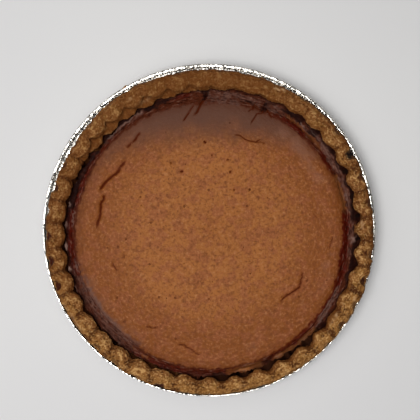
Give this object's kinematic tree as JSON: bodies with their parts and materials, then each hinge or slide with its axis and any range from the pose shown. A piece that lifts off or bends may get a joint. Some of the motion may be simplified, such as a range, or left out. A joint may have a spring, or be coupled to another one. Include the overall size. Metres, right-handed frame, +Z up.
{
  "type": "pumpkin pie",
  "caption": "Uncut round pumpkin pie in its pressed foil tin, with a fluted pastry rim and a smooth, cracked custard filling.",
  "frame": {"origin": "middle of the underside of the tin's flat base, which is also the middle of the bounding box's bottom", "axes": "+Z up through the pie's middle; +Y towards the side of the rim that slumped broad and flat, +X towards the side with the deepest flutes"},
  "size_m": [0.2414, 0.2414, 0.0405],
  "materials": {
    "foil": "bright pressed foil",
    "pastry": "rough, baked",
    "custard": "satin skin"
  },
  "bodies": {
    "root": {"foil_tin": "foil", "crust": "pastry", "filling": "custard"}
  },
  "joints": []
}
